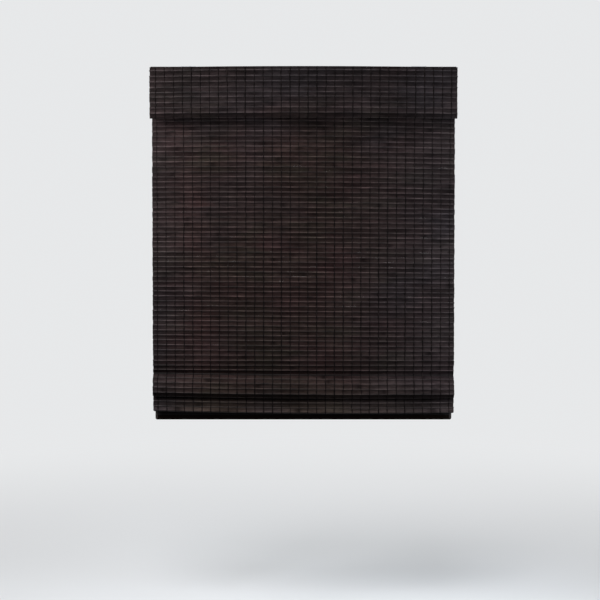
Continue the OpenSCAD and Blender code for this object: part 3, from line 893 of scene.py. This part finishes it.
class WeaveMesh:
    """Collects slats and reeds of one mat in one mesh, with their attributes."""

    ATTRIBUTES = ("slat_tone", "slat_hue", "slat_knot", "slat_drop")
    UPRIGHT = 1e-4

    def __init__(self, path: MatPath, seed: int) -> None:
        """Makes the slat and reed patterns and an empty mesh.

        Args:
            path: Side outline of the mat.
            seed: Seed of its random draws.
        """
        self.path = path
        self.sizes = path.sizes
        self.width = path.hang.width
        self.habit = StripHabit()
        self.dice = random.Random(seed)
        self.bm = bmesh.new()
        self.layers = [self.bm.verts.layers.float.new(name) for name in self.ATTRIBUTES]
        self.slat = self.slat_pattern()
        self.reed = self.reed_pattern()

    @staticmethod
    def reach(edge: bmesh.types.BMEdge) -> Vector:
        """How far an edge reaches along each axis."""
        return Vector([abs(c) for c in edge.verts[0].co - edge.verts[1].co])

    def long_edges(self, bm: bmesh.types.BMesh) -> list[bmesh.types.BMEdge]:
        """Edges that run along a strip."""
        return [edge for edge in bm.edges if self.reach(edge).x > self.sizes.slat_w]

    def slat_pattern(self) -> bpy.types.Mesh:
        """One straight slat in millimetres: width along X, thickness along Y, height along Z.

        Returns:
            The slat mesh.
        """
        s = self.sizes
        bm = bmesh.new()
        bmesh.ops.create_cube(bm, size=1.0)
        bmesh.ops.scale(bm, vec=(self.width, s.slat_t, s.slat_w), verts=bm.verts)
        bmesh.ops.bevel(
            bm, geom=self.long_edges(bm), offset=s.slat_edge, offset_type="OFFSET", affect="EDGES",
            segments=2, profile=0.5, material=-1,
        )
        bmesh.ops.subdivide_edges(bm, edges=self.long_edges(bm), cuts=s.length_cuts, use_grid_fill=True)
        tall = [edge for edge in bm.edges if self.reach(edge).z > s.slat_w / 2]
        upright = [edge for edge in tall if self.reach(edge).x < self.UPRIGHT]
        bmesh.ops.subdivide_edges(bm, edges=upright, cuts=s.width_cuts, use_grid_fill=True)
        for v in bm.verts:
            if v.co.y < 0:
                v.co.y += s.slat_hollow * max(0.0, 1 - (2 * v.co.z / s.slat_w) ** 2)
        return kept_mesh(bm, "slat_pattern")

    def reed_pattern(self) -> bpy.types.Mesh:
        """One straight reed in millimetres, along X.

        Returns:
            The reed mesh.
        """
        s = self.sizes
        radius = s.reed_d / 2
        bm = bmesh.new()
        bmesh.ops.create_cone(
            bm, cap_ends=True, segments=s.reed_sides, radius1=radius, radius2=radius, depth=self.width
        )
        turn = Matrix.Rotation(math.radians(90), 3, "Y")
        bmesh.ops.rotate(bm, cent=(0, 0, 0), matrix=turn, verts=bm.verts)
        thick = 1 + 2 * s.reed_proud / s.reed_d
        tall = (s.reed_gap + 2 * s.reed_lap) / s.reed_d
        bmesh.ops.scale(bm, vec=(1.0, thick, tall), verts=bm.verts)
        bmesh.ops.subdivide_edges(bm, edges=self.long_edges(bm), cuts=s.length_cuts, use_grid_fill=True)
        for face in bm.faces:
            face.material_index = 1
        return kept_mesh(bm, "reed_pattern")

    def add(
        self, middle: Vector, lean: float, is_reed: bool, stretch: float = 1.0, tone: float | None = None
    ) -> None:
        """Adds one slat or reed.

        Args:
            middle: Its middle in depth and height, in millimetres.
            lean: Its lean in degrees.
            is_reed: Whether it is a reed.
            stretch: Its height as a share of the pattern's.
            tone: Its tone, where it isn't left to chance.
        """
        strip = Strip(self.dice, self.width, self.habit)
        tone = strip.tone if tone is None else tone
        first = len(self.bm.verts)
        self.bm.from_mesh(self.reed if is_reed else self.slat)
        self.bm.verts.ensure_lookup_table()
        out, along = MatPath.out(lean), MatPath.along(lean)
        knot_shade, tone_shade = self.habit.knot_shade
        for v in self.bm.verts[first:]:
            x, y, z = v.co
            # How far down its slat a point lies; the finish turns it into painted shadow under the reed
            # above.
            drop = 0.5 if is_reed else 0.5 - z / self.sizes.slat_w
            x = strip.grown(x)
            knot = strip.knot(x)
            y, z = strip.warped(x, y, z * stretch, knot, is_reed)
            v.co = self.path.hung(x, middle - y * out - z * along)
            dark = min(1.0, knot * (knot_shade + tone_shade * tone))
            for layer, value in zip(self.layers, (tone, strip.hue, dark, drop)):
                v[layer] = value

    def weave(self, tones: Tones = (), reed_tones: Tones = ()) -> None:
        """Adds every slat and reed.

        Args:
            tones: Rows and tones of the slats that aren't left to chance.
            reed_tones: Rows and tones of the reeds that aren't left to chance.
        """
        path = self.path
        for row in range(len(path.lean)):
            stretch = path.heights[row] / self.sizes.slat_w
            self.add(path.slat_middle(row), path.lean[row], False, stretch, dict(tones).get(row))
            self.add(path.reed_middle(row), path.reed_lean(row), True, 1.0, dict(reed_tones).get(row))

    def piece(self, name: str, wood: Wood) -> bpy.types.Object:
        """Makes the object of the mat.

        Args:
            name: Name of the piece.
            wood: Finishes of its slats and its reeds.

        Returns:
            The new object.
        """
        for face in self.bm.faces:
            face.smooth = True
        mesh = kept_mesh(self.bm, name)
        mesh.set_sharp_from_angle(angle=math.radians(self.sizes.sharp_angle))
        for material in wood:
            mesh.materials.append(material)
        for pattern in (self.slat, self.reed):
            bpy.data.meshes.remove(pattern)
        return add_object(name, mesh)


@dataclass(frozen=True)
class ThreadSweep:
    """Section of swept threads.

    The radius is in metres, rings the bevel resolution, and taper the radius at the end of a route as a
    share of that at its start. Uneven threads have girths, and lumps along them, as shares of the radius.
    """

    radius: float
    rings: int = 0
    taper: float = 1.0
    girths: Span = (0.75, 1.15)
    lumps: Span = (0.7, 1.2)

    def mesh(
        self, name: str, routes: list[list[Vector]], dice: random.Random | None = None
    ) -> bpy.types.Mesh:
        """Sweeps round threads along routes.

        Args:
            name: Name of the mesh.
            routes: Points of each thread, in metres.
            dice: Seeded random source that makes the threads uneven, if given.

        Returns:
            The mesh of all threads, closed at their ends.
        """
        curve = bpy.data.curves.new(name, "CURVE")
        curve.dimensions = "3D"
        curve.bevel_depth = self.radius
        curve.bevel_resolution = self.rings
        curve.use_fill_caps = True
        for route in routes:
            spline = curve.splines.new("POLY")
            spline.points.add(len(route) - 1)
            girth = dice.uniform(*self.girths) if dice else 1.0
            for k, (point, place) in enumerate(zip(spline.points, route)):
                point.co = (*place, 1.0)
                uneven = girth * dice.uniform(*self.lumps) if dice else 1.0
                point.radius = uneven * (1 + (self.taper - 1) * k / (len(route) - 1))
        holder = bpy.data.objects.new(name + "_curve", curve)
        bpy.context.scene.collection.objects.link(holder)
        graph = bpy.context.evaluated_depsgraph_get()
        mesh = bpy.data.meshes.new_from_object(holder.evaluated_get(graph))
        bpy.data.objects.remove(holder)
        bpy.data.curves.remove(curve)
        mesh.name = name
        for face in mesh.polygons:
            face.use_smooth = True
        return mesh


@dataclass
class WarpThreads:
    """Warp threads that bind the slats and reeds of a mat.

    over_slat gives shares of a slat's height and how far above its face a thread lies there.
    """

    path: MatPath
    seed: int
    girth: float = 1.0
    taper: float = 1.0
    over_slat: tuple[Span, ...] = ((0.02, -0.10), (0.5, 0.15), (0.98, 0.05))
    over_reed: float = 0.05
    sway: float = 0.45

    def columns(self) -> list[float]:
        """Places of the threads across the mat, in millimetres.

        Returns:
            The places.
        """
        s = self.path.sizes
        count = math.floor((self.path.hang.width - 2 * s.warp_margin) / s.warp_pitch)
        return [(k - count / 2) * s.warp_pitch for k in range(count + 1)]

    def route(self, x: float, first: int, last: int, side: Side, dice: random.Random) -> list[Vector]:
        """Route of one thread over the rows first to last.

        Args:
            x: Its place across the mat, in millimetres.
            first: First row.
            last: Last row.
            side: Side of the mat that it runs on.
            dice: Seeded random source.

        Returns:
            Its points in metres.
        """
        path, s = self.path, self.path.sizes
        points = []
        reed_h = s.reed_d / 2 + s.reed_proud + self.over_reed
        for row in range(first, last + 1):
            lean = path.lean[row]
            sway = dice.gauss(0.0, self.sway)
            for share, above in self.over_slat:
                place = path.points[row] + share * path.heights[row] * MatPath.along(lean)
                place = place + side.value * (s.slat_t / 2 + above) * MatPath.out(lean)
                points.append(path.hung(x, place, sway))
            place = path.reed_middle(row) + side.value * reed_h * MatPath.out(path.reed_lean(row))
            points.append(path.hung(x, place, sway / 2))
        return points

    def piece(
        self, name: str, spans: list[tuple[int, int, Side]], material: bpy.types.Material
    ) -> bpy.types.Object:
        """Makes the object of all threads.

        Args:
            name: Name of the piece.
            spans: First row, last row and side of each run of threads.
            material: Thread finish.

        Returns:
            The new object.
        """
        dice = random.Random(self.seed)
        routes = [self.route(x, *span, dice) for span in spans for x in self.columns()]
        sweep = ThreadSweep(self.girth * self.path.sizes.warp_r * MM, taper=self.taper)
        mesh = sweep.mesh(name, routes, dice)
        mesh.materials.append(material)
        return add_object(name, mesh)


@dataclass
class Valance:
    """Woven valance in front of the headrail, in millimetres and degrees."""

    sizes: WeaveSizes
    width: float = 906.0
    depth: float = -36.0
    top: float = -0.8
    slats: tuple[float, ...] = (8.6, 13.0, 12.3, 12.7, 11.5, 9.5, 12.7, 11.5, 11.3)
    hem_slats: tuple[float, ...] = (12.4, 11.2, 11.2)
    hem_leans: tuple[float, ...] = (-22.0, -177.0, -180.0)
    # Painted shade: the hem row, which faces down, is given a darker tone.
    painted_hem_shade: Tones = ((9, -0.2),)
    arch: Span = (3.8, 3.8)
    slope: Span = (0.0, 0.0)
    level_share: float = 0.0
    weave_seed: int = 11
    thread_seed: int = 12

    def path(self) -> MatPath:
        """Side outline of the valance, cut through its first slat at the top.

        Returns:
            The outline.
        """
        rows = len(self.slats)
        bottom = self.top - rows * self.sizes.pitch
        hang = RowHang(self.width, self.top, bottom, self.arch, self.slope, self.level_share)
        lean = [0.0] * rows + list(self.hem_leans)
        return MatPath(lean, (self.depth, self.top), self.sizes, hang, [*self.slats, *self.hem_slats])

    def build(self, wood: Wood, thread: bpy.types.Material) -> None:
        """Builds the valance weave and its threads.

        Args:
            wood: Finishes of the slats and the reeds.
            thread: Thread finish.
        """
        path = self.path()
        mesh = WeaveMesh(path, self.weave_seed)
        mesh.weave(self.painted_hem_shade)
        weave = mesh.piece("valance_weave", wood)
        rows = len(self.slats)
        spans = [(0, rows, Side.FRONT), (0, rows - 1, Side.BACK), (rows + 1, rows + 2, Side.FRONT)]
        threads = WarpThreads(path, self.thread_seed).piece("valance_warp", spans, thread)
        for piece in (weave, threads):
            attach(piece, Body.RAIL.value)
        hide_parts("valance")
        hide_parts("valance_threads")
        flat = (self.width * MM, (sum(path.heights) + len(path.heights) * self.sizes.reed_gap) * MM)


@dataclass
class FlatPanel:
    """Flat woven panel between the headrail and the drawn-up folds, in millimetres."""

    sizes: WeaveSizes
    width: float = 900.0
    depth: float = -5.2
    top: float = -37.8
    rows: int = 56
    sag: float = 5.8
    uneven: float = 0.5
    arch: Span = (6.0, -1.4)
    slope: Span = (4.3, 7.0)
    level_share: float = 0.15
    thread_girth: float = 0.72
    thread_taper: float = 1.65
    height_seed: int = 23
    weave_seed: int = 21
    thread_seed: int = 22

    @property
    def height(self) -> float:
        """Height of all its rows."""
        return self.rows * self.sizes.pitch

    @property
    def seam(self) -> float:
        """Height of its lower end, where the folds go on."""
        return self.top - self.height

    def heights(self) -> list[float]:
        """Heights of the slats: the rows in the middle sit a little low and none is quite even.

        Returns:
            The height of each slat.
        """
        dice = random.Random(self.height_seed)
        offsets = [
            self.sag * math.sin(math.pi * k / self.rows) + dice.uniform(-self.uneven, self.uneven)
            for k in range(1, self.rows)
        ]
        steps = [b - a for a, b in zip([0.0, *offsets], [*offsets, 0.0])]
        return [self.sizes.slat_w + step for step in steps]

    def build(self, wood: Wood, thread: bpy.types.Material) -> None:
        """Builds the panel weave and its threads.

        Args:
            wood: Finishes of the slats and the reeds.
            thread: Thread finish.
        """
        seam = self.seam
        hang = RowHang(self.width, self.top, seam, self.arch, self.slope, self.level_share, seam)
        path = MatPath([0.0] * self.rows, (self.depth, self.top), self.sizes, hang, self.heights())
        mesh = WeaveMesh(path, self.weave_seed)
        mesh.weave()
        weave = mesh.piece("panel_weave", wood)
        spans = [(0, self.rows - 1, side) for side in Side]
        warp = WarpThreads(path, self.thread_seed, self.thread_girth, self.thread_taper)
        threads = warp.piece("panel_warp", spans, thread)
        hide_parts("upper_panel")
        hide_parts("panel_threads")
        for piece in (weave, threads):
            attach(piece, Body.RAIL.value)
            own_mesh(piece)


@dataclass
class DrawnUpFolds:
    """Two drawn-up folds and the tail of the same weave, in millimetres and degrees."""

    sizes: WeaveSizes
    top: float
    width: float = 900.0
    depth: float = -5.2
    crease: tuple[float, ...] = (-5, -13, -20)
    fold_1_front: tuple[float, ...] = (39, 25, 8, 0, -30)
    fold_1_back: tuple[float, ...] = (-166, -172, -180)
    fold_2_front: tuple[float, ...] = (0, 4, 5, 9, 6, 8)
    fold_2_back: tuple[float, ...] = (-165, -166, -168, -177)
    fold_2_bound_rows: int = 3
    tail: tuple[float, ...] = (0, 0, 0, 0)
    # Painted light: paler tones on the upward-facing top rows of the first fold and the lowest front rows
    # of the second.
    painted_lit_rows: Tones = ((3, 1.0), (4, 1.5), (5, 1.6), (6, 1.6), (15, 0.6), (16, 4.6))
    # Painted shade: a dark tone on the reed in the crease above the first fold.
    painted_crease_shade: Tones = ((2, -1.4),)
    reach: float = 160.0
    arch: Span = (-1.4, -4.6)
    slope: Span = (7.0, 5.5)
    level_share: float = 0.45
    # This seed was chosen for random tones that fall dark at the crease and pale on the lowest row: painted
    # shade and light.
    weave_seed: int = 16631
    thread_seed: int = 32

    def path(self) -> MatPath:
        """Side outline of the folds.

        Returns:
            The outline.
        """
        runs = (
            self.crease, self.fold_1_front, self.fold_1_back, self.fold_2_front, self.fold_2_back, self.tail
        )
        lean = [float(angle) for run in runs for angle in run]
        bottom = self.top - self.reach
        hang = RowHang(self.width, self.top, bottom, self.arch, self.slope, self.level_share, self.top)
        return MatPath(lean, (self.depth, self.top), self.sizes, hang)

    def spans(self) -> list[tuple[int, int, Side]]:
        """Runs of thread that show on the folds.

        Returns:
            First row, last row and side of each run.
        """
        upper = len(self.crease) + len(self.fold_1_front)
        lower = upper + len(self.fold_1_back)
        end = lower + len(self.fold_2_front)
        tail = end + len(self.fold_2_back)
        return [
            (0, upper - 1, Side.FRONT),
            (end - self.fold_2_bound_rows, end - 1, Side.FRONT),
            (0, len(self.crease) - 1, Side.BACK),
            (tail, tail + len(self.tail) - 1, Side.BACK),
        ]

    def build(self, wood: Wood, thread: bpy.types.Material) -> None:
        """Builds the folds and their threads.

        Args:
            wood: Finishes of the slats and the reeds.
            thread: Thread finish.
        """
        path = self.path()
        mesh = WeaveMesh(path, self.weave_seed)
        mesh.weave(self.painted_lit_rows, self.painted_crease_shade)
        weave = mesh.piece("fold_weave", wood)
        threads = WarpThreads(path, self.thread_seed).piece("fold_warp", self.spans(), thread)
        for piece in (weave, threads):
            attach(piece, Body.LIFT.value)
        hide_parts("lower_folds")
        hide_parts("fold_threads")


@dataclass
class LiftCords:
    """The two lift cords behind the panel, in millimetres."""

    radius: float = 0.7
    rings: int = 2
    sections: int = 40

    def build(self, cord: bpy.types.Material) -> None:
        """Builds both cords where their solids are.

        Args:
            cord: Cord finish.
        """
        sweep = ThreadSweep(self.radius * MM, self.rings)
        for side in ("left", "right"):
            node = f"lift_cord_{side}"
            low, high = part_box(node)
            x, y = (low.x + high.x) / 2, (low.y + high.y) / 2
            step = (low.z - high.z) / self.sections
            route = [Vector((x, y, high.z + step * k)) for k in range(self.sections + 1)]
            mesh = sweep.mesh(f"cord_drop_{side}", [route])
            mesh.materials.append(cord)
            piece = add_object(f"cord_drop_{side}", mesh)
            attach(piece, Body.RAIL.value)
            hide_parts(node)
            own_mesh(piece)


@dataclass
class Hardware:
    """CAD nodes that keep their shape and get a finish of their own."""

    nodes: dict[str, bpy.types.Object]

    def dress(self, finish: bpy.types.Material, *names: str) -> None:
        """Gives one finish to some nodes.

        Args:
            finish: Material to give.
            names: Names of the nodes.
        """
        for name in names:
            node = self.nodes[name]
            node.data.materials.clear()
            node.data.materials.append(finish)
            LOG.info("%s: %s", name, finish.name)


# Stage, in metres


@dataclass(frozen=True)
class Softbox:
    """One rectangular lamp: where it stands, what it faces, its width and height, watts and colour."""

    name: str
    place: Triple
    aim: Triple
    size: Span
    power: float
    colour: Colour

    def build(self) -> None:
        """Adds the lamp, out of the camera's sight."""
        data = bpy.data.lights.new(self.name, "AREA")
        data.shape = "RECTANGLE"
        data.size, data.size_y = self.size
        data.energy = self.power
        data.color = self.colour
        lamp = bpy.data.objects.new(self.name, data)
        lamp.location = self.place
        lamp.rotation_euler = (Vector(self.aim) - Vector(self.place)).to_track_quat("-Z", "Y").to_euler()
        lamp.visible_camera = False
        bpy.context.scene.collection.objects.link(lamp)


@dataclass(frozen=True)
class PhotoCamera:
    """Camera at the photograph's viewing angle, level but for a slight tilt down."""

    place: Triple = (-0.0103, -3.4155, -0.5845)
    tilt: float = 1.766
    view_angle: float = 29.403
    sensor: float = 36.0
    clip_end: float = 60.0

    def build(self) -> None:
        """Adds the camera and makes it the scene's."""
        data = bpy.data.cameras.new("photo_camera")
        data.sensor_width = self.sensor
        data.lens = self.sensor / 2 / math.tan(math.radians(self.view_angle / 2))
        data.clip_end = self.clip_end
        camera = bpy.data.objects.new("photo_camera", data)
        camera.location = self.place
        camera.rotation_euler = (math.radians(90 - self.tilt), 0.0, 0.0)
        bpy.context.scene.collection.objects.link(camera)
        bpy.context.scene.camera = camera


@dataclass(frozen=True)
class Stage:
    """Plain floor, soft light and the camera of the photograph."""

    floor_z: float = -1.66
    floor_half: float = 14.0
    floor_fade: Span = (0.0, 3.6)
    floor_colour: Colour = (0.74, 0.75, 0.76)
    floor_mottle: Colour = (0.71, 0.72, 0.73)
    floor_bounce: Colour = (0.05, 0.05, 0.05)
    floor_roughness: float = 0.9
    floor_gloss: float = 0.1
    mottles: Grain = Grain((3.0, 3.0, 3.0), 3.0)
    mottle_share: float = 0.1
    backdrop: Colour = (0.80, 0.81, 0.82)
    world_light: Colour = (0.90, 0.95, 1.0)
    world_strength: float = 0.07
    softboxes: tuple[Softbox, ...] = (
        Softbox("key_softbox", (-1.0, -4.1, 5.0), (0, 0, -0.5), (2.6, 2.4), 215.0, (0.98, 0.98, 1.0)),
        Softbox(
            "left_strip", (-1.05, -0.5, -0.02), (-0.2, 0, -0.45), (0.35, 0.8), 18.0, (0.98, 0.98, 0.98)
        ),
        Softbox(
            "right_strip", (1.08, -0.5, -0.52), (0.2, 0, -0.6), (0.35, 0.8), 13.5, (0.90, 0.98, 1.06)
        ),
        Softbox("back_fill", (0.0, 4.6, 2.2), (0, 0, -0.5), (3.0, 2.0), 160.0, (1.0, 1.0, 1.0)),
    )

    def floor(self) -> None:
        """Lays the pale floor, which fades into the backdrop far from the shade."""
        bm = bmesh.new()
        bmesh.ops.create_grid(bm, x_segments=1, y_segments=1, size=self.floor_half)
        bmesh.ops.translate(bm, vec=(0, 0, self.floor_z), verts=bm.verts)
        mesh = kept_mesh(bm, "floor")
        sheet = NodeSheet("floor_pale")
        mottle = sheet.spread(sheet.noise(self.mottles), EVEN, (0.0, self.mottle_share))
        tone = sheet.mix(mottle, self.floor_colour, self.floor_mottle)
        seen = self.seen_share(sheet.tree)
        tone = sheet.mix(seen, self.floor_bounce, tone)
        length = sheet.tree.nodes.new("ShaderNodeVectorMath")
        length.operation = "LENGTH"
        sheet.link(sheet.coords((1.0, 1.0, 0.0)), length.inputs[0])
        far = sheet.spread(length.outputs["Value"], self.floor_fade, smooth=True)
        glow = sheet.tree.nodes.new("ShaderNodeEmission")
        glow.inputs["Color"].default_value = opaque(self.backdrop)
        blend = sheet.tree.nodes.new("ShaderNodeMixShader")
        sheet.link(sheet.math("MULTIPLY", far, seen), blend.inputs["Fac"])
        sheet.link(sheet.shader.outputs["BSDF"], blend.inputs[1])
        sheet.link(glow.outputs["Emission"], blend.inputs[2])
        sheet.link(blend.outputs["Shader"], sheet.output.inputs["Surface"])
        mesh.materials.append(sheet.finish(tone, self.floor_roughness, self.floor_gloss))
        add_object("floor", mesh)

    @staticmethod
    def seen_share(tree: bpy.types.NodeTree) -> Socket:
        """One for rays that see the backdrop, straight or in a reflection, and zero for light.

        Args:
            tree: Node tree to build in.

        Returns:
            The share.
        """
        path = tree.nodes.new("ShaderNodeLightPath")
        last = path.outputs["Is Camera Ray"]
        for name in ("Is Glossy Ray", "Is Transmission Ray"):
            add = tree.nodes.new("ShaderNodeMath")
            add.operation = "ADD"
            add.use_clamp = True
            tree.links.new(last, add.inputs[0])
            tree.links.new(path.outputs[name], add.inputs[1])
            last = add.outputs["Value"]
        return last

    def world(self) -> None:
        """Sets an even sky light and a pale backdrop."""
        world = bpy.data.worlds.new("studio")
        bpy.context.scene.world = world
        world.use_nodes = True
        tree = world.node_tree
        tree.nodes.clear()
        out = tree.nodes.new("ShaderNodeOutputWorld")
        light = tree.nodes.new("ShaderNodeBackground")
        light.inputs["Color"].default_value = opaque(self.world_light)
        light.inputs["Strength"].default_value = self.world_strength
        seen = tree.nodes.new("ShaderNodeBackground")
        seen.inputs["Color"].default_value = opaque(self.backdrop)
        mix = tree.nodes.new("ShaderNodeMixShader")
        tree.links.new(self.seen_share(tree), mix.inputs["Fac"])
        tree.links.new(light.outputs["Background"], mix.inputs[1])
        tree.links.new(seen.outputs["Background"], mix.inputs[2])
        tree.links.new(mix.outputs["Shader"], out.inputs["Surface"])

    def build(self) -> None:
        """Sets the camera, the floor, the light and the view transform."""
        PhotoCamera().build()
        self.floor()
        self.world()
        for softbox in self.softboxes:
            softbox.build()
        bpy.context.scene.view_settings.view_transform = "Standard"


def main() -> None:
    """Builds the shade's pieces in order, dresses the hardware and sets the stage."""
    logging.basicConfig(level=logging.INFO, format="%(message)s")
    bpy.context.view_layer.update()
    Stage().build()

    wood = (SLAT_WOOD.material(), REED_WOOD.material())
    thread = WARP_COTTON.material()
    cord = CORD_BRAID.material()

    sizes = WeaveSizes()
    panel = FlatPanel(sizes)
    Valance(sizes).build(wood, thread)
    panel.build(wood, thread)
    DrawnUpFolds(sizes, panel.seam).build(wood, thread)
    LiftCords().build(cord)

    hardware = Hardware(frame["nodes"])
    for finish, names in HARDWARE_FINISHES:
        hardware.dress(finish.material(), *names)
    hardware.dress(cord, "headrail_cord_left", "headrail_cord_right")

    bpy.context.view_layer.update()


if __name__ == "__main__":
    main()
